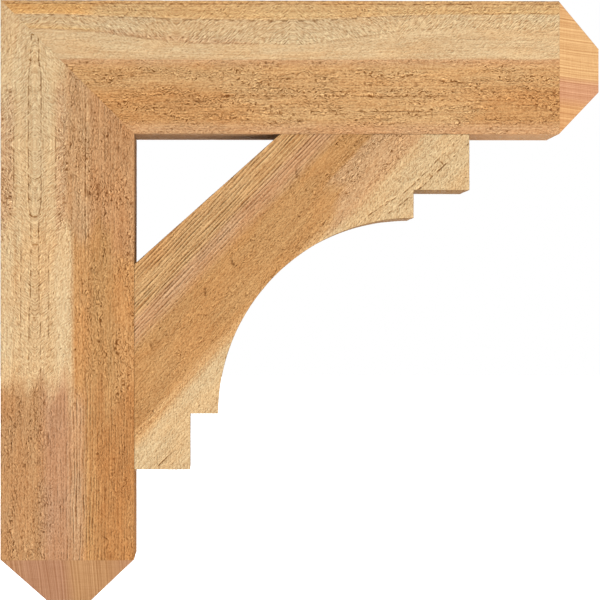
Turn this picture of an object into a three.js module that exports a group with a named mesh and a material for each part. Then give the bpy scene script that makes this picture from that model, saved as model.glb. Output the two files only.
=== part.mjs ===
// A wooden corbel bracket for an eave, a beam or a shelf.
// A leg and an arm of square rough-sawn timber meet in a mitre, each with a pyramid-cut tip.
// A stepped, arched brace of the same thickness fills the inner corner and leaves a triangle open.
// Millimetres. The wall is the plane x = 0, the arm runs out along +X, and +Z is up.
import * as THREE from 'three';
import { ConvexGeometry } from 'three/addons/geometries/ConvexGeometry.js';

// Driving dimensions
const TIMBER = 101.6; // side of the square section, full 4-inch rough-sawn stock
const REACH = 457.2; // from the outer corner to the tip of the leg, and of the arm
const END_CHAMFER = TIMBER / 3; // each side of a tip slopes in this far, at 45 degrees
const BRACE_REACH = 254; // from the inner corner to the brace's far end, on the leg and on the arm
const BACK_ON_ARM = 110.1; // from the inner corner to the brace's straight back, along the arm
const BACK_ON_LEG = 98.3; // the same, down the leg
const JOINT_GAP = 0.3; // between faces that touch in the real bracket
const ARC_SEGMENTS = 48; // in the brace's quarter arc

// Sizes that follow from them
const HALF_TIMBER = TIMBER / 2;
const SHOULDER = REACH - END_CHAMFER; // where a tip's slopes start
const TOP = SHOULDER / 2; // the wall face is centred on the origin
const UNDERSIDE = TOP - TIMBER;
const MITRE_SET_BACK = (JOINT_GAP / 2) * Math.SQRT2; // along the timber, for half of the gap
const STEP = BRACE_REACH / 6; // tread and rise of the brace's outer step
const ARCH_SET_IN = 1.5 * STEP; // the arch springs this far from the arm and from the leg
const ARC_CENTRE = BRACE_REACH - STEP; // from the inner corner, out and down alike
const ARC_RADIUS = ARC_CENTRE - ARCH_SET_IN;

// Rough-sawn wood, matt
function wood(colour) {
  return new THREE.MeshStandardMaterial({ color: colour, roughness: 0.8, metalness: 0 });
}

// The four corners of a rectangle across the timber, shrunk by the inset on every side
function sectionCorners(x, inset) {
  const corners = [];
  for (const side of [-1, 1]) {
    for (const height of [-inset, inset - TIMBER]) {
      corners.push(new THREE.Vector3(x, side * (HALF_TIMBER - inset), height));
    }
  }
  return corners;
}

// The four corners of the mitre face, which runs back at 45 degrees from the outer corner
function mitreCorners() {
  const corners = sectionCorners(0, 0);
  for (const corner of corners) {
    corner.x = MITRE_SET_BACK - corner.z;
  }
  return corners;
}

// One timber along +X, with its outer corner at the origin: a mitre, a square stretch and a tip
function timberGeometry() {
  return new ConvexGeometry([
    ...mitreCorners(),
    ...sectionCorners(SHOULDER, 0),
    ...sectionCorners(REACH, END_CHAMFER),
  ]);
}

// The brace's side outline, with the inner corner at the origin, the arm above and the leg at left
function braceOutline() {
  const outline = new THREE.Shape();
  outline.moveTo(BACK_ON_ARM, -JOINT_GAP);
  outline.lineTo(JOINT_GAP, -BACK_ON_LEG);
  outline.lineTo(JOINT_GAP, -BRACE_REACH);
  outline.lineTo(STEP, -BRACE_REACH);
  outline.lineTo(STEP, -ARC_CENTRE);
  outline.absarc(ARC_CENTRE, -ARC_CENTRE, ARC_RADIUS, Math.PI, Math.PI / 2, true);
  outline.lineTo(ARC_CENTRE, -STEP);
  outline.lineTo(BRACE_REACH, -STEP);
  outline.lineTo(BRACE_REACH, -JOINT_GAP);
  outline.closePath();
  return outline;
}

// The outline sawn from stock as thick as the timber, and flush with it on both sides
function braceGeometry() {
  const geometry = new THREE.ExtrudeGeometry(braceOutline(), {
    depth: TIMBER,
    curveSegments: ARC_SEGMENTS,
    bevelEnabled: false,
  });
  geometry.rotateX(Math.PI / 2);
  geometry.translate(0, HALF_TIMBER, 0);
  return geometry;
}

const bracket = new THREE.Group();
const timber = timberGeometry();

const arm = new THREE.Mesh(timber, wood(0xd8a772));
arm.name = 'horizontal_arm';
arm.position.set(0, 0, TOP);
bracket.add(arm);

// The leg is the same timber, turned half round about the mitre's diagonal
const leg = new THREE.Mesh(timber, wood(0xcf9f70));
leg.name = 'vertical_leg';
leg.quaternion.setFromAxisAngle(new THREE.Vector3(1, 0, -1).normalize(), Math.PI);
leg.position.set(0, 0, TOP);
bracket.add(leg);

const brace = new THREE.Mesh(braceGeometry(), wood(0xc8946a));
brace.name = 'arched_brace';
brace.position.set(TIMBER, 0, UNDERSIDE);
bracket.add(brace);

export default bracket;
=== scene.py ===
# The looks of a wooden corbel bracket: rough-sawn timbers with planed tips, and a band-sawn brace.
# Lengths are in millimetres until a mesh is placed in metres. The timbers' figure is bookmatched.
import math

import bpy
import numpy as np
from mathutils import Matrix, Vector
from mathutils.geometry import delaunay_2d_cdt


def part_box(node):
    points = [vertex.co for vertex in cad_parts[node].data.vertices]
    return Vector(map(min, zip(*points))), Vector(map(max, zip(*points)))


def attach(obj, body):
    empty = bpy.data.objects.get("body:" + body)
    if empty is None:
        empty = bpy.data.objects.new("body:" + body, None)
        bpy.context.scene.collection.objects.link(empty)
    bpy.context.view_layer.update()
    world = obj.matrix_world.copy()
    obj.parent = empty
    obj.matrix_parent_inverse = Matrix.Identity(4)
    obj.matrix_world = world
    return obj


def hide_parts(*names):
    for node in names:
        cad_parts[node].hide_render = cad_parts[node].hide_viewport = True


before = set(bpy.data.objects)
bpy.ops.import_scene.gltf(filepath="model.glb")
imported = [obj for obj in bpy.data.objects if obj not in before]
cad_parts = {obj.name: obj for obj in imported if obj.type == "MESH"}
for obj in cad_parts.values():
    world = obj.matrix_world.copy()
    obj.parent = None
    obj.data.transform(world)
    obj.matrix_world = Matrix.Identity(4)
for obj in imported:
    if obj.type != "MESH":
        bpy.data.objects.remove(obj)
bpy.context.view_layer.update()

MM = 0.001  # metres in a millimetre


def box_mm(node):
    """Lowest and highest corner of a CAD node, in millimetres."""
    low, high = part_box(node)
    return np.array(low) / MM, np.array(high) / MM


# Sizes of the frame
arm_low, arm_high = box_mm("horizontal_arm")
brace_low, brace_high = box_mm("arched_brace")
TOP = arm_high[2]
UNDERSIDE = arm_low[2]
TIMBER = TOP - UNDERSIDE
HALF = TIMBER / 2
REACH = arm_high[0]
TIP = TIMBER / 3  # how far a tip's slopes run, along the timber and across it
SHOULDER = REACH - TIP
BRACE_REACH = brace_high[0] - TIMBER
STEP = BRACE_REACH / 6
ARC_CENTRE = 5 * STEP
ARC_RADIUS = 3.5 * STEP
BACK_ON_ARM = 110.1  # from the inner corner to the brace's straight back, along the arm
BACK_ON_LEG = 98.3  # the same, down the leg
MITRE_SET_BACK = 0.03  # the mitre's faces meet tightly, without touching
LET_IN = 0.5  # how far the brace's ends sink into the timbers' rough faces

# Fineness of the meshes, and how far a sharp edge is worn back
SIDE_CELLS = 90
CORNER_CELLS = 3
BODY_CELLS = 216
TIP_CELLS = 24
CAP_CELLS = 6
OUTLINE_SPACING = 1.35
EDGE_ROWS = 48
FACE_SPACING = (1.4, 0.85)  # along the brace's grain and across it
FACE_MARGIN = 0.5  # from the rim of the brace's face to the points inside it
END_CORE = 2  # half the side of the innermost square on a tip's end
MITRE_CORE = 4  # the same, on the mitre's face
EDGE_WEAR = 0.6

BRACE_GRAIN = math.radians(46.2)  # the rise of the brace's grain, from the horizontal
SAPWOOD_LEAN = math.radians(1.8)  # how much steeper the edge of its pale sapwood is


# Numbers over a surface
def soft_step(value, low, high):
    """0 below low, 1 above high, and smooth between them."""
    t = np.clip((value - low) / (high - low), 0, 1)
    return t * t * (3 - 2 * t)


def window(value, low, high, soft):
    """1 between low and high, fading over a soft edge on each side."""
    return soft_step(value, low - soft, low + soft) * (1 - soft_step(value, high - soft, high + soft))


def fold(value, start, span):
    """The value mirrored to and fro between start and start + span."""
    return start + np.abs((value - start - span) % (2 * span) - span)


LATTICE = 512


def rough(u, v, cell, seed):
    """Smooth seeded noise from -1 to 1, with a cell's length along u and along v."""
    table = np.random.default_rng(seed).random((LATTICE, LATTICE)) * 2 - 1
    x = u / cell[0]
    y = v / cell[1]
    column = np.floor(x).astype(int)
    row = np.floor(y).astype(int)
    fx = soft_step(x - column, 0, 1)
    fy = soft_step(y - row, 0, 1)

    def corner(dx, dy):
        return table[(column + dx) % LATTICE, (row + dy) % LATTICE]

    near = corner(0, 0) * (1 - fx) + corner(1, 0) * fx
    far = corner(0, 1) * (1 - fx) + corner(1, 1) * fx
    return near * (1 - fy) + far * fy


# Small cracks and grooves in the front, in millimetres from the bracket's outer corner:
# out, down, length, width, slope in degrees and depth
GOUGES = [
    (223.5, 131.2, 7.0, 0.9, 78, 0.9),
    (175.7, 197.9, 7.0, 0.9, 78, 0.9),
    (155.2, 221.0, 7.0, 0.9, 78, 0.9),
    (113.5, 261.4, 6.5, 0.9, 78, 0.8),
    (97.5, 237.0, 8.0, 0.9, -25, 0.8),
    (95.8, 335.4, 10.0, 0.8, -12, 0.4),
    (93.4, 345.8, 13.0, 0.8, 90, 0.5),
    (50.2, 348.0, 37.0, 1.5, 90, 0.2),
    (26.0, 280.0, 50.0, 0.5, 2, 0.2),
]


def gouge_depth(out, down, through):
    """How deep the cracks and grooves cut at points of the front."""
    total = np.zeros(len(out))
    for middle_out, middle_down, length, width, slope, depth in GOUGES:
        turn = math.radians(slope)
        bend = rough(out, down, (9, 9), 900) * width
        x = (out - middle_out) * math.cos(turn) + (down - middle_down) * math.sin(turn)
        y = (down - middle_down) * math.cos(turn) - (out - middle_out) * math.sin(turn) + bend
        shape = window(x, -length / 2, length / 2, width) * np.exp(-((y / width) ** 2))
        total += depth * shape
    return total * (through < EDGE_WEAR - HALF)


# Meshes. Each point has a row of numbers, and these are their places in it.
PLACE = slice(0, 3)  # where it is, on the piece's own axes
OUTWARD = slice(3, 6)  # the way its surface faces
GRAIN = slice(6, 9)  # along, across and through the grain
ACROSS, THROUGH = 7, 8  # the last two of those on their own
RUN, GIRTH, FINISH = 9, 10, 11  # along and round the surface, and how that is finished
SAWN, CUT, JOINT = 0.0, 1.0, 2.0  # off the saw mill, cut or planed by hand, hidden in a joint


class Skin:
    """A closed skin put together from patches."""

    def __init__(self):
        self.points = []
        self.faces = []
        self.maps = []
        self.count = 0

    def add(self, points, faces, flat, flip):
        """Adds a patch, with flat giving each point's place in the unwrapped map."""
        faces = np.asarray(faces)
        if flip:
            faces = faces[:, ::-1]
        self.points.append(points)
        self.faces += (faces + self.count).tolist()
        self.maps += flat[faces].tolist()
        self.count += len(points)

    def grid(self, rows, flat, flip=False):
        """Quads over rows of points."""
        n, m = rows.shape[:2]
        index = np.arange(n * m).reshape(n, m)
        corners = index[:-1, :-1], index[:-1, 1:], index[1:, 1:], index[1:, :-1]
        faces = np.stack([corner.ravel() for corner in corners], axis=1)
        self.add(rows.reshape(n * m, -1), faces, flat.reshape(n * m, 2), flip)

    def fan(self, ring, middle, flat, flat_middle, flip=False):
        """Triangles from a ring of points to one in the middle."""
        n = len(ring)
        first = np.arange(n - 1)
        faces = np.stack([first, first + 1, np.full(n - 1, n)], axis=1)
        self.add(np.vstack([ring, middle]), faces, np.vstack([flat, flat_middle]), flip)


MAP_SIDE = 540.0  # the unwrapped map's side
MAP_MARGIN = 1  # from the map's edge to the brace's patches
FACE_GAP = 6  # between the brace's faces and what lies beside them in the map
STRIP_GAP = 4  # between other patches in the map
INSIDE_ONLY = 1  # keeps only the triangles inside the rim
MERGE_WITHIN = 1e-5  # millimetres
SHARP = math.radians(40)
ROUNDING = 4  # decimals of a millimetre within which points are one
RELIEF_TOP = 0.25  # the surface's mean depth, which keeps the relief below the CAD faces


def store(mesh, label, columns):
    """Keeps three numbers for each point, for the materials."""
    attribute = mesh.attributes.new(label, "FLOAT_VECTOR", "POINT")
    attribute.data.foreach_set("vector", np.stack(columns, axis=1).astype(np.float32).ravel())


def make_piece(name, skin, place, wood):
    """Joins a skin's patches, works the wood's relief into them and makes the object."""
    points = np.vstack(skin.points)
    _, first, where = np.unique(
        points[:, PLACE].round(ROUNDING), axis=0, return_index=True, return_inverse=True
    )
    points = points[first]
    where = where.ravel()
    faces = [[int(where[corner]) for corner in face] for face in skin.faces]
    relief, tear = wood.relief(points)
    relief = np.minimum(relief - RELIEF_TOP, 0) * (points[:, FINISH] < JOINT)
    places = points[:, PLACE] + points[:, OUTWARD] * relief[:, None]
    mesh = bpy.data.meshes.new(name)
    mesh.from_pydata((place(places) * MM).tolist(), [], faces)
    figure = wood.figure(points)
    store(mesh, "figure", figure)
    # The tear also darkens the colour in the materials, as painted shade in the pits and cracks
    store(mesh, "growth", [wood.depth(points), points[:, GRAIN][:, 0], tear])
    store(mesh, "surface", [points[:, RUN], points[:, GIRTH], points[:, FINISH]])
    layer = mesh.uv_layers.new(name="OFBake")
    spots = np.array([spot for face in skin.maps for spot in face])
    layer.uv.foreach_set("vector", (spots / MAP_SIDE).astype(np.float32).ravel())
    mesh.shade_smooth()
    mesh.set_sharp_from_angle(angle=SHARP)
    piece = bpy.data.objects.new(name, mesh)
    bpy.context.scene.collection.objects.link(piece)
    return piece


# The two timbers
def square_ring():
    """A ring round a square: its points' cores, their ways out, and how far round they are."""
    reach = HALF - EDGE_WEAR
    cores, outs, girths = [], [], []
    for side in range(4):
        spin = np.linalg.matrix_power(np.array([[0, 1], [-1, 0]]), side)
        for t in np.linspace(-1, 1, SIDE_CELLS + 1):
            cores.append(np.array([t, -1]) @ spin)
            outs.append(np.array([0, -1]) @ spin)
            girths.append(side * TIMBER + HALF + t * reach)
        for share in np.linspace(0, 1, CORNER_CELLS + 1)[1:-1]:
            angle = share * math.pi / 2
            cores.append(np.array([1, -1]) @ spin)
            outs.append(np.array([math.sin(angle), -math.cos(angle)]) @ spin)
            girths.append((side + 1) * TIMBER + (2 * share - 1) * EDGE_WEAR)
    cores.append(cores[0])
    outs.append(outs[0])
    girths.append(4 * TIMBER + girths[0])
    return np.array(cores), np.array(outs), np.array(girths)


CORES, OUTS, GIRTHS = square_ring()
NOWHERE = np.zeros(len(GIRTHS))


def timber_rows(lengths, halves, finish):
    """Rows of points, one section for each length, which may change over the section."""
    rows = []
    for length, half in zip(lengths, halves):
        wear = min(EDGE_WEAR, half / 2)
        ring = CORES * (half - wear) + OUTS * wear
        across = ring[:, 0] + HALF
        along = length(across)
        place = [along, across, ring[:, 1]]
        outward = [NOWHERE, OUTS[:, 0], OUTS[:, 1]]
        finishes = np.full(len(GIRTHS), finish)
        rows.append(np.stack([*place, *outward, *place, along, GIRTHS, finishes], axis=1))
    return np.array(rows)


def at(length):
    """A cut square across the timber."""
    return lambda across: np.full(len(across), length)


def mitre_to(share):
    """A cut a share of the way from the mitre to the shoulder."""
    def length(across):
        start = across + MITRE_SET_BACK
        return start + (SHOULDER - start) * share
    return length


def add_cap(skin, rows, along, corner, flip, finish):
    """Closes an end with shrinking squares and a fan in the middle."""
    flat = rows[:, :, [ACROSS, THROUGH]] + np.array([corner[0], corner[1] + HALF])
    skin.grid(rows, flat, flip)
    middle = [along, HALF, 0]
    centre = np.array([*middle, 0, 0, 0, *middle, along, 0, finish])
    flat_centre = np.array([corner[0] + HALF, corner[1] + HALF])
    skin.fan(rows[-1], centre, flat[-1], flat_centre, flip)


def timber_skin():
    """A timber along its own grain: a mitred end, four sawn sides and a tip cut to a blunt pyramid."""
    skin = Skin()
    shares = np.linspace(0, 1, BODY_CELLS + 1)
    body = timber_rows([mitre_to(share) for share in shares], [HALF] * len(shares), SAWN)
    skin.grid(body, body[:, :, [RUN, GIRTH]])
    slopes = np.linspace(0, TIP, TIP_CELLS + 1)
    tip = timber_rows([at(SHOULDER + slope) for slope in slopes], HALF - slopes, CUT)
    tip_map = tip[:, :, [RUN, GIRTH]].copy()
    tip_map[:, :, 0] += (slopes * (math.sqrt(2) - 1))[:, None]
    skin.grid(tip, tip_map)
    above = 4 * TIMBER + STRIP_GAP
    halves = np.linspace(HALF - TIP, END_CORE, CAP_CELLS + 1)
    end = timber_rows([at(REACH)] * len(halves), halves, CUT)
    add_cap(skin, end, REACH, (0, above), False, CUT)
    halves = np.linspace(HALF, MITRE_CORE, CAP_CELLS + 1)
    mitre = timber_rows([mitre_to(0)] * len(halves), halves, JOINT)
    add_cap(skin, mitre, HALF + MITRE_SET_BACK, (TIMBER, above), True, JOINT)
    return skin


def on_arm(places):
    """A timber's along, across and through, placed as the arm."""
    along, across, through = places.T
    return np.stack([along, through, TOP - across], axis=1)


def on_leg(places):
    """A timber's along, across and through, placed as the leg: a mirror image of the arm."""
    along, across, through = places.T
    return np.stack([across, through, TOP - along], axis=1)


# The brace, in its own plane: out from the leg, down from the arm, and through
def stretch(start, end):
    """Points from a corner up to the next one, which is left for the next stretch."""
    start, end = np.array(start), np.array(end)
    count = max(2, round(np.linalg.norm(end - start) / OUTLINE_SPACING))
    share = np.linspace(0, 1, count + 1)[:-1, None]
    return start + (end - start) * share


def brace_outline():
    """Points round the brace, from where its back meets the arm."""
    corners = [(BACK_ON_ARM, -LET_IN), (-LET_IN, BACK_ON_LEG), (-LET_IN, BRACE_REACH)]
    corners += [(STEP, BRACE_REACH), (STEP, ARC_CENTRE), (ARC_CENTRE - ARC_RADIUS, ARC_CENTRE)]
    parts = [stretch(*pair) for pair in zip(corners, corners[1:])]
    count = round(ARC_RADIUS * math.pi / 2 / OUTLINE_SPACING)
    turn = np.linspace(math.pi, 1.5 * math.pi, count + 1)[:-1]
    parts.append(ARC_CENTRE + ARC_RADIUS * np.stack([np.cos(turn), np.sin(turn)], axis=1))
    corners = [(ARC_CENTRE, ARC_CENTRE - ARC_RADIUS), (ARC_CENTRE, STEP), (BRACE_REACH, STEP)]
    corners += [(BRACE_REACH, -LET_IN), (BACK_ON_ARM, -LET_IN)]
    parts += [stretch(*pair) for pair in zip(corners, corners[1:])]
    return np.vstack(parts)


def ways_out(outline):
    """At each point of the outline, the way out of the brace, longer at corners so it stays mitred."""
    def left(step):
        step = step / np.linalg.norm(step, axis=1, keepdims=True)
        return np.stack([-step[:, 1], step[:, 0]], axis=1)

    one = left(np.roll(outline, -1, axis=0) - outline)
    other = left(outline - np.roll(outline, 1, axis=0))
    return (one + other) / (1 + np.einsum("ij,ij->i", one, other))[:, None]


def in_brace(out, down, margin):
    """Whether points lie in the brace's outline, at least a margin from its edge."""
    height = 1 / math.hypot(1 / BACK_ON_ARM, 1 / BACK_ON_LEG)
    behind = (out / BACK_ON_ARM + down / BACK_ON_LEG - 1) * height > margin
    touching = (out > margin - LET_IN) & (down > margin - LET_IN)
    low_tab = (out < STEP - margin) & (down < BRACE_REACH - margin)
    high_tab = (down < STEP - margin) & (out < BRACE_REACH - margin)
    arch = np.hypot(out - ARC_CENTRE, down - ARC_CENTRE) > ARC_RADIUS + margin
    main = arch & (np.maximum(out, down) < ARC_CENTRE - margin)
    return behind & touching & (low_tab | high_tab | main)


def grain_of(out, down):
    """How far a point lies along the brace's slanting grain, and across it."""
    along = out * math.cos(BRACE_GRAIN) - down * math.sin(BRACE_GRAIN)
    across = out * math.sin(BRACE_GRAIN) + down * math.cos(BRACE_GRAIN)
    return along, across


def face_points():
    """Points inside the brace's face, in rows along its grain."""
    far = BRACE_REACH * 1.5
    along, across = np.meshgrid(np.arange(-far, far, FACE_SPACING[0]), np.arange(0, far, FACE_SPACING[1]))
    out = along * math.cos(BRACE_GRAIN) + across * math.sin(BRACE_GRAIN)
    down = across * math.cos(BRACE_GRAIN) - along * math.sin(BRACE_GRAIN)
    inside = in_brace(out, down, EDGE_WEAR + FACE_MARGIN)
    return np.stack([out[inside], down[inside]], axis=1)


def brace_points(flat, through, outward, surface):
    """The rows of numbers for points of the brace."""
    out, down = flat.T
    along, across = grain_of(out, down)
    return np.stack([out, down, through, *outward, along, across, through, *surface], axis=1)


def brace_skin():
    """The brace's two faces, cut into fine triangles, and its edge all round."""
    skin = Skin()
    outline = brace_outline()
    outwards = ways_out(outline)
    rim = outline - outwards * EDGE_WEAR
    flat = np.vstack([rim, face_points()])
    rim_edges = [(i, (i + 1) % len(rim)) for i in range(len(rim))]
    spots = [Vector(point) for point in flat]
    _, _, faces, origin, _, _ = delaunay_2d_cdt(spots, rim_edges, [], INSIDE_ONLY, MERGE_WITHIN)
    faces = [[origin[corner][0] for corner in face] for face in faces]
    along, across = grain_of(*flat.T)
    none = np.zeros(len(flat))
    for facing, shift in ((-1, 0), (1, BRACE_REACH + FACE_GAP)):
        outward = (none, none, none + facing)
        surface = (along, across, none + SAWN)
        points = brace_points(flat, none + facing * HALF, outward, surface)
        skin.add(points, faces, flat + np.array([shift + MAP_MARGIN, MAP_MARGIN]), facing < 0)
    add_brace_edge(skin, outline, outwards)
    return skin


def edge_rows():
    """Rows across the brace's edge: how far in, at what level, and which way each faces."""
    rows = []
    for share in np.linspace(0, 1, CORNER_CELLS + 1):
        angle = share * math.pi / 2
        wear = EDGE_WEAR * (1 - math.sin(angle))
        level = HALF - EDGE_WEAR * (1 - math.cos(angle))
        rows.append((wear, level, math.sin(angle), math.cos(angle)))
    flat_part = np.linspace(HALF - EDGE_WEAR, EDGE_WEAR - HALF, EDGE_ROWS + 1)[1:-1]
    middle = [(0.0, level, 1.0, 0.0) for level in flat_part]
    return rows + middle + [(wear, -level, side, -up) for wear, level, side, up in rows[::-1]]


def add_brace_edge(skin, outline, outwards):
    """The edge, in two strips of the unwrapped map."""
    steps = np.linalg.norm(np.roll(outline, -1, axis=0) - outline, axis=1)
    length = np.concatenate([[0], np.cumsum(steps)])
    halfway = len(outline) // 2
    for strip, (start, end) in enumerate(((0, halfway), (halfway, len(outline)))):
        chosen = np.arange(start, end + 1)
        line = outline[chosen % len(outline)]
        way = outwards[chosen % len(outline)]
        grid = []
        for wear, level, side, up in edge_rows():
            levels = np.full(len(line), level)
            outward = (way[:, 0] * side, way[:, 1] * side, np.full(len(line), up))
            finish = np.full(len(line), CUT if side > 0.5 else SAWN)
            grid.append(brace_points(line - way * wear, levels, outward, (length[chosen], levels, finish)))
        grid = np.array(grid)
        flat_map = grid[:, :, [RUN, GIRTH]].copy()
        flat_map[:, :, 0] -= length[start] - MAP_MARGIN
        flat_map[:, :, 1] += HALF + BRACE_REACH + FACE_GAP + strip * (TIMBER + STRIP_GAP)
        skin.grid(grid, flat_map)


def on_brace(places):
    """The brace's out, down and through, in the frame."""
    out, down, through = places.T
    return np.stack([TIMBER + out, through, UNDERSIDE - down], axis=1)


# The wood in each piece
RIDGE_SPACING = 2.4
LADDER = 26.1  # from the leg's outer face to the line that its figure is mirrored about
MIRRORED_DEPTH = 48.0  # growth rings deeper than this have a figure of their own
MIRRORED_LENGTH = 300.0  # and so has the wood past here, towards the tip
ARM_FOLD = (133.2, 88.2)  # where along the arm its figure is mirrored, and the length of one image
LEG_FOLD = (109.3, 238.7)
ARM_PITH = 560.0  # from the tree's pith to the timber's outer face
LEG_PITH = 520.0
# Torn wood and cracks are also darkened in the materials, as painted shade in the pits
GOUGE_TEAR = 1.5  # how torn the wood is for each millimetre of a crack's depth


def sawn_relief(u, v, torn, ridged, seed):
    """Heights of a rough-sawn face, and how deeply it is torn."""
    swell = 0.15 * rough(u, v, (70, 26), seed)
    fibres = 0.09 * rough(u, v, (9, 1.8), seed + 1)
    lean = u + 0.15 * v + 2.0 * rough(u, v, (40, 40), seed + 2)
    saw = 0.03 * np.sin(2 * math.pi * lean / 2.8)
    tear = torn * soft_step(rough(u, v, (7, 1.6), seed + 3), 0.45, 0.95)
    ridges = 0.14 * rough(u, v, (75, 2.3), seed + 4)
    return swell + fibres + saw - 0.3 * tear + ridged * ridges, tear


class TimberWood:
    """The wood of a timber: how its figure is mirrored and where it is torn or ridged."""

    def __init__(self, seed, pith_away, bend, fold_along, fold_across, torn, ridged, turned):
        self.seed = seed
        self.pith_away = pith_away
        self.bend = bend
        self.fold_along = fold_along
        self.fold_across = fold_across
        self.torn = torn
        self.ridged = ridged
        self.turned = turned

    def figure(self, points):
        along, across, through = points[:, GRAIN].T
        return fold(along, *self.fold_along), fold(across, *self.fold_across), through

    def depth(self, points):
        """How deep a point's growth ring lies in the front or the back, below the outer face."""
        along, across, through = points[:, GRAIN].T
        ring = np.sqrt((across + self.pith_away) ** 2 + through**2 - HALF**2) - self.pith_away
        bend = self.bend(along, ring)
        along = fold(along, *self.fold_along)
        wave = 0.9 * rough(along, ring, (110, 30), self.seed + 10)
        ripple = 0.35 * rough(along, ring, (22, 9), self.seed + 11)
        return ring - bend + wave + ripple

    def relief(self, points):
        along, across, through = points[:, GRAIN].T
        girth = points[:, GIRTH]
        depth = self.depth(points)
        run = points[:, RUN]
        u = fold(run, *self.fold_along)
        v = np.where(girth < TIMBER, fold(girth, *self.fold_across), girth)
        kind = self.torn(along, depth), self.ridged(along, depth)
        mirrored = np.array(sawn_relief(u, v, *kind, self.seed))
        plain = np.array(sawn_relief(run, girth, *kind, self.seed + 20))
        share = soft_step(depth, MIRRORED_DEPTH - 3, MIRRORED_DEPTH + 3)
        share = np.maximum(share, soft_step(run, MIRRORED_LENGTH - 9, MIRRORED_LENGTH + 9))
        sawn, tear = mirrored + (plain - mirrored) * share
        from_arris = HALF - np.abs(girth % TIMBER - HALF)
        inner = soft_step(from_arris, 0, 3) * soft_step(run - across, 0, 3)
        nick = soft_step(rough(u, girth, (7, 3), self.seed + 12), 0.35, 0.9)
        sawn = sawn * inner - 0.35 * nick * (1 - soft_step(from_arris, 0, 2))
        if self.turned:
            gouge = gouge_depth(across, along, through)
        else:
            gouge = gouge_depth(along, across, through)
        planed = 0.04 * rough(u, v, (40, 1.6), self.seed + 13)
        is_sawn = points[:, FINISH] == SAWN
        tear = np.where(is_sawn, tear * inner + gouge * GOUGE_TEAR, 0)
        return np.where(is_sawn, sawn - gouge, planed), tear


class BraceWood:
    """The wood of the brace, whose grain slants and whose edge is cut with a band saw."""

    seed = 300
    pith_away = 240.0

    def figure(self, points):
        return tuple(points[:, GRAIN].T)

    def depth(self, points):
        along, across, through = points[:, GRAIN].T
        ring = np.sqrt((across + self.pith_away) ** 2 + through**2 - HALF**2) - self.pith_away
        lean = along * math.tan(SAPWOOD_LEAN) * soft_step(ring, 110, 150)
        wave = 0.8 * rough(along, ring, (120, 40), self.seed + 10)
        ripple = 0.3 * rough(along, ring, (25, 10), self.seed + 11)
        return ring + lean + wave + ripple

    def relief(self, points):
        along, across, through = points[:, GRAIN].T
        depth = self.depth(points)
        torn = 0.15 + 0.45 * window(depth, 110, 153, 3) * soft_step(along, 40, 90)
        ridged = 1 - soft_step(depth, 102, 112)
        sawn, tear = sawn_relief(along, across, torn, ridged, self.seed)
        out, down = points[:, PLACE][:, :2].T
        gouge = gouge_depth(out + TIMBER, down + TIMBER, through)
        run, level = points[:, RUN], points[:, GIRTH]
        saw = 0.06 * np.sin(2 * math.pi * (run + rough(run, level, (20, 30), self.seed + 7)) / 2.6)
        cut = saw + 0.08 * rough(run, level, (9, 24), self.seed + 8)
        is_sawn = points[:, FINISH] == SAWN
        return np.where(is_sawn, sawn - gouge, cut), np.where(is_sawn, tear + gouge * GOUGE_TEAR, 0)


def arm_bend(along, ring):
    """The arm's pale bands dip in its middle."""
    return window(along, 88, 285, 65) * np.interp(ring, (4, 15, 33, 46), (0, 4.1, 12, 0))


def straight(along, ring):
    return 0 * ring


def arm_torn(along, depth):
    return 0.12 + 0.88 * window(depth, 47, 92, 3)


def arm_ridged(along, depth):
    return 0.5 * (1 - soft_step(depth, 8, 12)) + 0.2 * window(depth, 60, 90, 6)


def leg_torn(along, depth):
    low_left = soft_step(along, 300, 330) * (1 - soft_step(depth, 36, 42))
    rims = 0.8 * window(along, 80, 150, 20) * (1 - window(depth, 10, 43, 2))
    heart = soft_step(depth, 50, 56) * (1 - 0.5 * leg_ridged(along, depth))
    return 0.12 + 0.88 * np.maximum(heart, np.maximum(low_left, rims))


def leg_ridged(along, depth):
    return soft_step(along, 230, 330) * window(depth, 53, 74, 2)


arm_wood = TimberWood(100, ARM_PITH, arm_bend, ARM_FOLD, (0.0, TIMBER), arm_torn, arm_ridged, False)
leg_wood = TimberWood(200, LEG_PITH, straight, LEG_FOLD, (LADDER, TIMBER), leg_torn, leg_ridged, True)
arm = make_piece("rough_sawn_arm", timber_skin(), on_arm, arm_wood)
leg = make_piece("rough_sawn_leg", timber_skin(), on_leg, leg_wood)
leg.data.flip_normals()
brace = make_piece("band_sawn_brace", brace_skin(), on_brace, BraceWood())

# Light: strengths, and what they make of a surface that faces the camera
AMBIENT = 0.7
KEY = 1.8
KEY_FROM = (0.45, -0.7, 0.6)
BACK = 3.0
BACK_FROM = (-0.3, 0.75, 0.6)  # keeps the floor white, so that it lights the undersides
SUN_SPREAD = 12.0  # degrees
FILL = 9.0
FILL_AT = (500.0, -850.0, -300.0)  # low in front, to reach the undersides
FILL_SIZE = (700.0, 200.0)
FRONT_GAIN = 1.98  # light on the front, for one of albedo
FRONT_SHEEN = 0.005  # what the dull surface reflects besides


# Materials
def to_linear(level):
    """A screen level from 0 to 255, as light."""
    share = level / 255
    return share / 12.92 if share < 0.04045 else ((share + 0.055) / 1.055) ** 2.4


def albedo(seen):
    """The surface colour that shows as a screen colour on the lit front."""
    return [max((to_linear(level) - FRONT_SHEEN) / FRONT_GAIN, 0.0) for level in seen]


class Value:
    """A number on a shader's wire, for plain arithmetic."""

    def __init__(self, graph, socket):
        self.graph = graph
        self.socket = socket

    def __add__(self, other):
        return self.graph.math("ADD", self, other)

    def __sub__(self, other):
        return self.graph.math("SUBTRACT", self, other)

    def __rsub__(self, other):
        return self.graph.math("SUBTRACT", other, self)

    def __mul__(self, other):
        return self.graph.math("MULTIPLY", self, other)

    __radd__ = __add__
    __rmul__ = __mul__


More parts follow.
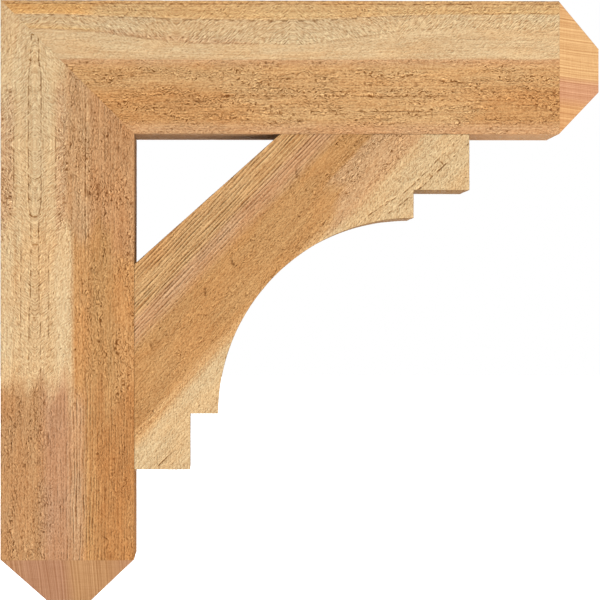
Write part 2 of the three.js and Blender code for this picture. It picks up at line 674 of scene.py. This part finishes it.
NOISE_GAIN = 10.0  # brings the noise texture to a spread of about 1
LINE_FADE = (0.9, 0.2)  # how far from a thin line's middle it ends, and where it is full
LINE_END = 6  # a line fades out over this length to each side of its ends
MIX_ONE, MIX_OTHER, MIX_RESULT = 6, 7, 2  # the Mix node's colour sockets, whose names others share


class Graph:
    """The nodes of one material."""

    def __init__(self, name):
        self.material = bpy.data.materials.new(name)
        self.material.use_nodes = True
        self.nodes = self.material.node_tree.nodes
        self.links = self.material.node_tree.links

    def put(self, socket, value):
        """Links a value to a socket, or sets the socket to a plain number."""
        if isinstance(value, Value):
            self.links.new(value.socket, socket)
        else:
            socket.default_value = value

    def math(self, operation, one, other):
        node = self.nodes.new("ShaderNodeMath")
        node.operation = operation
        self.put(node.inputs[0], one)
        self.put(node.inputs[1], other)
        return Value(self, node.outputs[0])

    def attribute(self, label):
        """The three numbers that a mesh keeps for its points."""
        node = self.nodes.new("ShaderNodeAttribute")
        node.attribute_name = label
        return self.parts(Value(self, node.outputs["Vector"]))

    def parts(self, vector):
        node = self.nodes.new("ShaderNodeSeparateXYZ")
        self.put(node.inputs[0], vector)
        return [Value(self, socket) for socket in node.outputs]

    def point(self, x, y, z):
        node = self.nodes.new("ShaderNodeCombineXYZ")
        for socket, value in zip(node.inputs, (x, y, z)):
            self.put(socket, value)
        return Value(self, node.outputs[0])

    def cells(self, point, cell, seed):
        """A point counted in cells of a length, a width and perhaps a depth."""
        mapping = self.nodes.new("ShaderNodeMapping")
        self.put(mapping.inputs["Vector"], point)
        mapping.inputs["Scale"].default_value = [1 / size for size in (*cell, 1.0)[:3]]
        mapping.inputs["Location"].default_value = (seed * 17.3, seed * 5.1, seed * 9.7)
        return Value(self, mapping.outputs[0])

    def noise(self, point, cell, seed, detail=1.0):
        """Noise with a mean of 0 and a spread of about 1."""
        node = self.nodes.new("ShaderNodeTexNoise")
        node.noise_dimensions = f"{len(cell)}D"
        self.put(node.inputs["Vector"], self.cells(point, cell, seed))
        node.inputs["Scale"].default_value = 1.0
        node.inputs["Detail"].default_value = detail
        return (Value(self, node.outputs[0]) - 0.5) * NOISE_GAIN

    def spots(self, point, cell, size, share, seed):
        """Soft specks, one at most in each cell, in a share of the cells."""
        node = self.nodes.new("ShaderNodeTexVoronoi")
        node.voronoi_dimensions = "2D"
        self.put(node.inputs["Vector"], self.cells(point, cell, seed))
        node.inputs["Scale"].default_value = 1.0
        chance, strength, _ = self.parts(Value(self, node.outputs["Color"]))
        present = self.math("LESS_THAN", chance, share)
        shape = self.fade(Value(self, node.outputs["Distance"]), size, size * 0.4)
        return shape * present * (strength * 0.6 + 0.4)

    def fade(self, value, low, high):
        """0 at low, 1 at high, and smooth between them."""
        node = self.nodes.new("ShaderNodeMapRange")
        node.interpolation_type = "SMOOTHSTEP"
        self.put(node.inputs["Value"], value)
        node.inputs["From Min"].default_value = low
        node.inputs["From Max"].default_value = high
        return Value(self, node.outputs[0])

    def band(self, value, low, high, soft):
        """1 between low and high, fading over a soft edge on each side."""
        return self.fade(value, low - soft, low + soft) * self.fade(value, high + soft, high - soft)

    def away(self, value, centre):
        """How far a value is from a centre, which may itself be a value."""
        return self.math("ABSOLUTE", value - centre, 0.0)

    def track(self, length, path):
        """An offset that follows a path, a list of lengths and offsets."""
        offset = path[0][1]
        for (start, low), (end, high) in zip(path, path[1:]):
            offset = self.fade(length, start, end) * (high - low) + offset
        return offset

    def seams(self, length, offset, paths):
        """Thin lines that run along the grain on their paths."""
        total = 0.0
        for path in paths:
            reach = self.band(length, path[0][0], path[-1][0], LINE_END)
            line = self.fade(self.away(offset, self.track(length, path)), *LINE_FADE)
            total = line * reach + total
        return total

    def rungs(self, length, places):
        """Thin lines across the grain."""
        total = 0.0
        for place in places:
            total = self.fade(self.away(length, place), *LINE_FADE) + total
        return total

    def ramp(self, value, stops):
        """A colour, or three amounts, for a value, between stops of a position and a colour."""
        low, high = stops[0][0], stops[-1][0]
        node = self.nodes.new("ShaderNodeValToRGB")
        elements = node.color_ramp.elements
        elements[0].position = 0
        elements[1].position = 1
        for position, _ in stops[1:-1]:
            elements.new((position - low) / (high - low))
        for element, (_, colour) in zip(elements, stops):
            element.color = (*colour, 1)
        self.put(node.inputs[0], (value - low) * (1 / (high - low)))
        return Value(self, node.outputs[0])

    def blend(self, share, one, other, kind="MIX"):
        """A share of the other colour over the first."""
        node = self.nodes.new("ShaderNodeMix")
        node.data_type = "RGBA"
        node.blend_type = kind
        self.put(node.inputs["Factor"], share)
        self.put(node.inputs[MIX_ONE], one)
        self.put(node.inputs[MIX_OTHER], other)
        return Value(self, node.outputs[MIX_RESULT])


# From darker to lighter wood, the blue changes most and the red least
TINT = (0.48, 0.68, 0.85)
# Painted shade: the tint of the dark grain lines and of the shade in the torn pits
LINE_AND_PIT_SHADE_TINT = (0.66, 0.78, 0.88)
# Painted highlight: the tint of lit rims beside the tears and grain lines
PAINTED_HIGHLIGHT_TINT = (0.40, 0.44, 0.46)
DARKEST, LIGHTEST = -0.95, 1.2  # the limits of a tone
SPECULAR = 0.03  # raw wood is dull


def toned(graph, colour, tone, tint):
    """A colour made darker and redder by a tone below 0, or lighter and paler by one above it."""
    tone = graph.math("MAXIMUM", graph.math("MINIMUM", tone, LIGHTEST), DARKEST)
    factor = graph.point(*[tone * share + 1 for share in tint])
    return graph.blend(1.0, colour, factor, "MULTIPLY")


def finish_material(graph, colour, height, roughness):
    """Joins colour, height in millimetres and roughness to the shader."""
    bump = graph.nodes.new("ShaderNodeBump")
    bump.inputs["Distance"].default_value = MM
    graph.put(bump.inputs["Height"], height)
    shader = graph.nodes["Principled BSDF"]
    graph.put(shader.inputs["Base Color"], colour)
    graph.put(shader.inputs["Roughness"], roughness)
    shader.inputs["Specular IOR Level"].default_value = SPECULAR
    graph.put(shader.inputs["Normal"], Value(graph, bump.outputs[0]))
    return graph.material


# Tones of the wood, as seen on the front
CREAM = (224, 188, 141)
TAN = (219, 183, 137)
FLAX = (214, 179, 133)
WHEAT = (221, 180, 131)
HONEY = (216, 171, 117)
BUFF = (209, 162, 110)
ROSE = (208, 159, 113)
AMBER = (204, 150, 96)
BROWN = (198, 147, 101)
MAUVE = (203, 155, 112)
DUSK = (193, 145, 108)
NUT = (193, 144, 98)
BRONZE = (194, 144, 92)
UMBER = (190, 133, 81)
FAWN = (213, 170, 126)
DRAB = (203, 158, 113)
ORANGE = (226, 170, 106)
STRAW = (228, 178, 122)
APRICOT = (220, 164, 110)
SALMON = (214, 156, 117)
RUSSET = (181, 131, 98)
TAWNY = (187, 139, 95)
# Painted shade: darker tones for the brace's sawn edges, partly their own colour, partly the shade of its
# undersides
OCHRE_IN_SHADE = (160, 115, 68)
SAND_IN_SHADE = (160, 118, 70)


def arm_bands(top, lip, brown):
    """Bands from the arm's top: a place in millimetres, a tone, and how torn, hatched and ridged it is."""
    return [
        (-8, BUFF, (0.4, 0.2, 0.4)),
        (2, BUFF, (0.5, 0.3, 0.4)),
        (3.5, top, (0.5, 0.5, 0.3)),
        (9.5, top, (0.5, 0.6, 0.1)),
        (11, TAN, (0.1, 0.7, 0.0)),
        (17, TAN, (0.1, 0.8, 0.0)),
        (20.5, lip, (0.3, 0.8, 0.0)),
        (22, TAN, (0.1, 0.25, 0.0)),
        (43, TAN, (0.1, 0.15, 0.0)),
        (45, ROSE, (0.5, 0.1, 0.0)),
        (52, BUFF, (0.9, 0.0, 0.2)),
        (64, BUFF, (1.0, 0.0, 0.3)),
        (70, brown, (1.0, 0.0, 0.3)),
        (90, brown, (0.9, 0.0, 0.3)),
        (97, ROSE, (0.6, 0.0, 0.2)),
        (106, ROSE, (0.5, 0.0, 0.1)),
    ]


def leg_bands(rim, rim_work, ladder, edge, strip, heart, inner):
    """Bands from the leg's wall face: pale ones about the ladder, and brown ones past the edge."""
    return [
        (-8, TAN, (0.3, 0.3, 0.0)),
        (-2, TAN, (0.3, 0.3, 0.0)),
        (1, rim, rim_work),
        (8, rim, rim_work),
        (11, ladder, (0.1, 0.6, 0.0)),
        (40, ladder, (0.1, 0.6, 0.0)),
        (43, rim, rim_work),
        (edge - 2, rim, rim_work),
        (edge + 2, strip, (0.8, 0.1, 0.2)),
        (66, strip, (0.8, 0.0, 0.3)),
        (71, heart, (0.9, 0.0, 0.3)),
        (84, heart, (0.9, 0.0, 0.3)),
        (91, inner, (0.8, 0.0, 0.2)),
        (106, inner, (0.8, 0.0, 0.2)),
    ]


LEG_FOOT_BANDS = [
    (-8, TAN, (0.3, 0.3, 0.0)),
    (-2, TAN, (0.3, 0.3, 0.0)),
    (1, NUT, (0.6, 0.0, 0.2)),
    (10, NUT, (0.9, 0.0, 0.2)),
    (28, NUT, (0.8, 0.0, 0.2)),
    (38, DUSK, (0.6, 0.0, 0.2)),
    (44, DUSK, (0.2, 0.0, 0.3)),
    (49, DUSK, (0.1, 0.0, 0.6)),
    (55, MAUVE, (0.3, 0.0, 0.9)),
    (60, MAUVE, (0.3, 0.0, 0.9)),
    (66, AMBER, (0.3, 0.0, 0.8)),
    (76, UMBER, (0.5, 0.0, 0.5)),
    (106, UMBER, (0.6, 0.0, 0.3)),
]


def brace_bands(brown_to, between, pale_from, torn):
    """Bands across the brace, from its back to its arch: ridged, then brown and torn, then pale."""
    return [
        (50, BROWN, (0.2, 0.0, 1.0)),
        (66, AMBER, (0.2, 0.0, 1.0)),
        (82, BUFF, (0.2, 0.0, 1.0)),
        (94, BUFF, (0.2, 0.0, 1.0)),
        (99, MAUVE, (0.2, 0.0, 1.0)),
        (105, MAUVE, (0.2, 0.0, 0.8)),
        (114, BRONZE, (torn, 0.0, 0.2)),
        (brown_to, BRONZE, (torn, 0.0, 0.1)),
        (brown_to + 3, between, (torn, 0.2, 0.1)),
        (pale_from - 4, between, (torn * 0.8, 0.3, 0.0)),
        (pale_from + 2, FLAX, (torn * 0.3, 0.3, 0.0)),
        (240, FLAX, (torn * 0.3, 0.3, 0.0)),
    ]


# Bands that follow one another along the grain: where each takes over, and what it is
ARM_STATIONS = [
    (0, arm_bands(ORANGE, HONEY, AMBER)),
    (70, arm_bands(HONEY, FAWN, AMBER)),
    (180, arm_bands(HONEY, TAN, BUFF)),
    (358, arm_bands(HONEY, TAN, AMBER)),
]
LEG_STATIONS = [
    (0, leg_bands(CREAM, (0.3, 0.4, 0.0), CREAM, 50, DRAB, ROSE, ROSE)),
    (76, leg_bands(FAWN, (0.9, 0.8, 0.0), TAN, 50, DRAB, BROWN, BROWN)),
    (182, leg_bands(CREAM, (0.3, 0.4, 0.0), WHEAT, 55, AMBER, BRONZE, AMBER)),
    (296, LEG_FOOT_BANDS),
]
BRACE_STATIONS = [
    (-200, brace_bands(150, BUFF, 160, 0.5)),
    (66, brace_bands(130, DRAB, 164, 1.0)),
]
ARM_TIP_BANDS = [(-8, APRICOT), (20, STRAW), (55, STRAW), (61, SALMON), (72, SALMON), (80, APRICOT)]
LEG_TIP_BANDS = [(-8, TAWNY), (20, RUSSET), (45, RUSSET), (55, TAWNY), (80, TAWNY), (106, RUSSET)]
# The brace's sawn edges: partly the band-sawn wood's own darker colour, partly painted shade of the step
# undersides on every edge
BRACE_EDGE_TONES_WITH_SHADE = [(50, OCHRE_IN_SHADE), (150, OCHRE_IN_SHADE), (160, SAND_IN_SHADE), (240, SAND_IN_SHADE)]

# Dark lines along the grain: each is a list of lengths along it and of offsets across it
ARM_SEAMS = [
    [(4, 2.6), (420, 2.6)],
    [(12, 11.0), (325, 11.0)],
    [(345, 9.5), (418, 9.5)],
    [(150, 72.5), (330, 72.5)],
    [(230, 84.0), (330, 84.0)],
]
ARM_FAINT_SEAMS = [
    [(20, 21.2), (335, 21.2)],
    [(335, 68.0), (415, 69.0)],
]
LEG_SEAMS = [
    [(22, 2.6), (44, 3.2), (58, 4.8), (150, 4.8), (166, 3.0), (218, 3.2), (250, 4.5), (285, 4.5)],
    [(98, 15.9), (144, 15.9)],
    [(189, 10.6), (257, 10.6)],
    [(72, 38.5), (200, 38.0)],
]
BRACE_SEAMS = [
    [(74, 170.2), (119, 178.7), (185, 179.2)],
    [(82, 179.4), (110, 182.8), (126, 184.7), (185, 187.8)],
    [(-190, 186.0), (-150, 187.0)],
]

# Short lines across, between two of those: how far along each lies
LEG_RUNGS = (26.5, 46.9, 66.6, 135.9, 152.6, 164.3, 176.4, 185.5, 205.9, 217.3, 240.7)
BRACE_RUNGS = (133.0, 145.6, 152.5, 161.0)

# How dark some of the lines are, where a plain one is 1
FAINT_LINE = 0.4
LEG_RUNG = 1.4
BRACE_LINE = 1.3


def arm_marks(graph, length, across, depth):
    """The arm's lines follow its bands."""
    faint = graph.seams(length, depth, ARM_FAINT_SEAMS) * FAINT_LINE
    return graph.seams(length, depth, ARM_SEAMS) + faint


def leg_marks(graph, length, across, depth):
    """The leg's lines and the rungs between them are mirrored about the ladder's middle."""
    aside = across - LADDER
    arc = length + aside * aside * 0.1
    arcs = graph.fade(graph.noise(graph.point(arc, 0.0, 0.0), (2.4, 1.0), 31), 0.6, 2.0)
    rungs = graph.rungs(arc, LEG_RUNGS) * LEG_RUNG + arcs * graph.band(length, 20, 290, 10) * 0.5
    return graph.seams(length, aside, LEG_SEAMS) + rungs * graph.fade(aside, 5.2, 4.4)


def brace_marks(graph, length, across, depth):
    """The brace's lines, and the short rungs between two of them."""
    rungs = graph.rungs(length, BRACE_RUNGS) * graph.band(across, 179.5, 185.5, 0.5)
    return graph.seams(length, across, BRACE_SEAMS) * BRACE_LINE + rungs


TAKEOVER = 16  # bands take over from the last ones this far to each side of their start
WANDER = 7  # and that start wanders by about this much


def banded(graph, depth, length, stations, seed):
    """The wood's colour, and how torn, hatched and ridged it is."""
    wander = graph.noise(graph.point(length, depth, 0.0), (60, 14), seed) * WANDER
    colour, amounts = None, None
    for start, bands in stations:
        here = graph.ramp(depth, [(position, albedo(tone)) for position, tone, _ in bands])
        finish = graph.ramp(depth, [(position, amount) for position, _, amount in bands])
        if colour is None:
            colour, amounts = here, finish
        else:
            share = graph.fade(length + wander, start - TAKEOVER, start + TAKEOVER)
            colour = graph.blend(share, colour, here)
            amounts = graph.blend(share, amounts, finish)
    return colour, graph.parts(amounts)


def sawn_wood(name, stations, cut_bands, marks, hatch_slope, painted_glint_shift, seed):
    """Rough-sawn wood with planed or sawn cuts, banded by its growth rings."""
    graph = Graph(name)
    along, across, through = graph.attribute("figure")
    depth, length, tear = graph.attribute("growth")
    run, girth, finish = graph.attribute("surface")
    place = graph.point(length, depth, through)
    colour, (torn, hatched, ridged) = banded(graph, depth, length, stations, seed + 1)
    lines_dark = marks(graph, length, across, depth)
    # The same lines shifted aside, which are painted as glints beside them
    painted_line_glints = marks(graph, length, across + painted_glint_shift, depth + painted_glint_shift)

    # Deep in the timber and near its tip the figure isn't mirrored
    deep = graph.math("GREATER_THAN", depth, MIRRORED_DEPTH)
    plain = graph.math("MAXIMUM", deep, graph.math("GREATER_THAN", length, MIRRORED_LENGTH))
    along = along + (length - along) * plain
    across = across + (depth - across) * plain
    side = across + through
    point = graph.point(along, across, through)
    flat = graph.point(along, side, 0.0)
    rings = graph.point(along, depth, through)

    # Broad figure
    clouds = graph.noise(place, (55, 9, 16), seed + 2, 2.0)
    blush = graph.noise(place, (42, 13, 20), seed + 13, 1.0)
    colour = toned(graph, colour, blush, (0.014, -0.01, -0.036))

    # Fine figure
    streaks = graph.noise(rings, (60, 1.6, 2.5), seed + 3, 2.0)
    fibres = graph.noise(point, (5.0, 1.3, 1.3), seed + 4)
    grit = graph.noise(point, (1.6, 1.1, 1.1), seed + 5)
    crowd = torn * graph.fade(graph.noise(rings, (30, 6.0, 9.0), seed + 12), -2.2, 1.6)
    bent = side + graph.noise(flat, (7.0, 4.0), seed + 16) * 0.5

    def tears(aside):
        """Short dashes and specks along the grain where the saw has torn it: unshifted, painted shade in
        the pits; shifted aside, painted highlights on their rims.
        """
        at = graph.point(along, bent + aside, 0.0)
        dashes = graph.fade(graph.noise(at, (4.2, 1.0), seed + 6), 0.9, 2.2) * crowd
        pepper = graph.fade(graph.noise(at, (1.7, 1.1), seed + 17), 0.9, 2.3) * crowd
        return dashes + pepper * 0.9 + graph.spots(at, (6.0, 3.0), 0.25, crowd * 0.14, seed + 7) * 0.8

    slope = math.radians(hatch_slope)
    with_stroke = along * math.cos(slope) - side * math.sin(slope)
    over_stroke = along * math.sin(slope) + side * math.cos(slope)
    strokes = graph.noise(graph.point(with_stroke, over_stroke, 0.0), (4.5, 0.9), seed + 8) * hatched
    wobble = graph.noise(rings, (40, 6.0), seed + 14) * 0.7
    waves = graph.math("SINE", depth * (2 * math.pi / RIDGE_SPACING) + wobble, 0.0)
    lines = (graph.noise(rings, (30, 1.1, 2.5), seed + 9) * 0.5 + waves * 0.85) * ridged
    broken = graph.fade(graph.noise(rings, (5.0, 2.0), seed + 15), -1.0, 1.2)

    # Darker: the wood's own dark grain lines, and painted shade in the torn pits and cracks
    lines_and_pit_shade = tears(0.0) + lines_dark * broken * 0.65 + graph.fade(tear, 0.4, 1.0) * 0.5
    # Painted highlights: the tears and lines shifted aside, lighter as if their rims caught the light; the
    # height raises them a little
    painted_highlight = tears(painted_glint_shift) + painted_line_glints * broken * 0.6
    tone = clouds * 0.045 + streaks * 0.075 + fibres * 0.05 + grit * (torn * 0.08 + 0.1)
    tone = tone + strokes * 0.27 + lines * 0.34 + torn * 0.05 + hatched * 0.22
    sawn_colour = toned(graph, colour, tone, TINT)
    # Darkened by the grain lines and the painted pit shade, then lightened by the painted highlights
    sawn_colour = toned(graph, sawn_colour, lines_and_pit_shade * -1.0, LINE_AND_PIT_SHADE_TINT)
    sawn_colour = toned(graph, sawn_colour, painted_highlight, PAINTED_HIGHLIGHT_TINT)
    sawn_height = fibres * 0.08 + grit * 0.12 - lines_and_pit_shade * 0.3 + painted_highlight * 0.15 + strokes * 0.2 + lines * 0.35

    # Planed tips and sawn edges
    # On the brace these tones carry painted shade of its undersides
    planed_colour = graph.ramp(depth, [(position, albedo(tone)) for position, tone in cut_bands])
    stripes = graph.noise(rings, (150, 1.2), seed + 10, 2.0)
    marks_across = graph.noise(graph.point(run, girth, 0.0), (1.2, 30), seed + 11)
    planed_colour = toned(graph, planed_colour, stripes * 0.2 + grit * 0.03 + marks_across * 0.03, TINT)
    planed_height = stripes * 0.02 + grit * 0.01 + marks_across * 0.015

    is_cut = graph.fade(finish, 0.4, 0.6)
    colour = graph.blend(is_cut, sawn_colour, planed_colour)
    height = sawn_height + (planed_height - sawn_height) * is_cut
    roughness = 0.82 - is_cut * 0.14 + fibres * 0.02 + lines_and_pit_shade * 0.08
    return finish_material(graph, colour, height, roughness)


# The fifth number shifts the painted highlights to one side of the marks
materials = {
    "arm_wood": sawn_wood("arm_wood", ARM_STATIONS, ARM_TIP_BANDS, arm_marks, 42.0, 0.9, 10),
    "leg_wood": sawn_wood("leg_wood", LEG_STATIONS, LEG_TIP_BANDS, leg_marks, 50.0, -0.9, 40),
    "brace_wood": sawn_wood("brace_wood", BRACE_STATIONS, BRACE_EDGE_TONES_WITH_SHADE, brace_marks, 40.0, 0.9, 70),
}
for piece, node, slot in (
    (arm, "horizontal_arm", "arm_wood"),
    (leg, "vertical_leg", "leg_wood"),
    (brace, "arched_brace", "brace_wood"),
):
    piece.data.materials.append(materials[slot])
    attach(piece, "root")
    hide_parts(node)

# Camera
EYE = Vector((154.1, -2817.0, TOP - 232.3)) * MM
AIM = Vector((226.8, -HALF, TOP - 227.1)) * MM
SENSOR = 36.0
LENS = 219.2
FARTHEST = 100  # metres that the camera sees

camera_data = bpy.data.cameras.new("camera")
camera_data.sensor_width = SENSOR
camera_data.lens = LENS
camera_data.clip_end = FARTHEST
camera = bpy.data.objects.new("camera", camera_data)
camera.location = EYE
camera.rotation_euler = (AIM - EYE).to_track_quat("-Z", "Y").to_euler()
bpy.context.scene.collection.objects.link(camera)
bpy.context.scene.camera = camera
bpy.context.scene.view_settings.view_transform = "Standard"

# Floor and light
FLOOR_DROP = 400.0
FLOOR_SIDE = 60.0
FLOOR_ALBEDO = 0.95

bpy.ops.mesh.primitive_plane_add(size=FLOOR_SIDE, location=(0, 0, (TOP - REACH - FLOOR_DROP) * MM))
floor = bpy.context.object
floor.name = "floor"
floor_material = bpy.data.materials.new("floor")
floor_material.use_nodes = True
floor_shader = floor_material.node_tree.nodes["Principled BSDF"]
floor_shader.inputs["Base Color"].default_value = (FLOOR_ALBEDO, FLOOR_ALBEDO, FLOOR_ALBEDO, 1)
floor_shader.inputs["Roughness"].default_value = 0.9
floor.data.materials.append(floor_material)


def studio_world():
    """A white backdrop to look at, and a dimmer even light."""
    world = bpy.data.worlds.new("studio")
    world.use_nodes = True
    nodes = world.node_tree.nodes
    links = world.node_tree.links
    background = nodes["Background"]
    background.inputs["Color"].default_value = (1, 1, 1, 1)
    path = nodes.new("ShaderNodeLightPath")
    strength = nodes.new("ShaderNodeMapRange")
    strength.inputs["To Min"].default_value = AMBIENT
    strength.inputs["To Max"].default_value = 1.0
    links.new(path.outputs["Is Camera Ray"], strength.inputs["Value"])
    links.new(strength.outputs[0], background.inputs["Strength"])
    return world


bpy.context.scene.world = studio_world()
for name, energy, way in (("key", KEY, KEY_FROM), ("back", BACK, BACK_FROM)):
    sun = bpy.data.lights.new(name, "SUN")
    sun.energy = energy
    sun.angle = math.radians(SUN_SPREAD)
    lamp = bpy.data.objects.new(name, sun)
    lamp.rotation_euler = Vector(way).to_track_quat("Z", "Y").to_euler()
    bpy.context.scene.collection.objects.link(lamp)
fill = bpy.data.lights.new("fill", "AREA")
fill.energy = FILL
fill.shape = "RECTANGLE"
fill.size, fill.size_y = [side * MM for side in FILL_SIZE]
panel = bpy.data.objects.new("fill", fill)
panel.location = Vector(FILL_AT) * MM
panel.rotation_euler = (panel.location - AIM).to_track_quat("Z", "Y").to_euler()
panel.visible_camera = False
bpy.context.scene.collection.objects.link(panel)
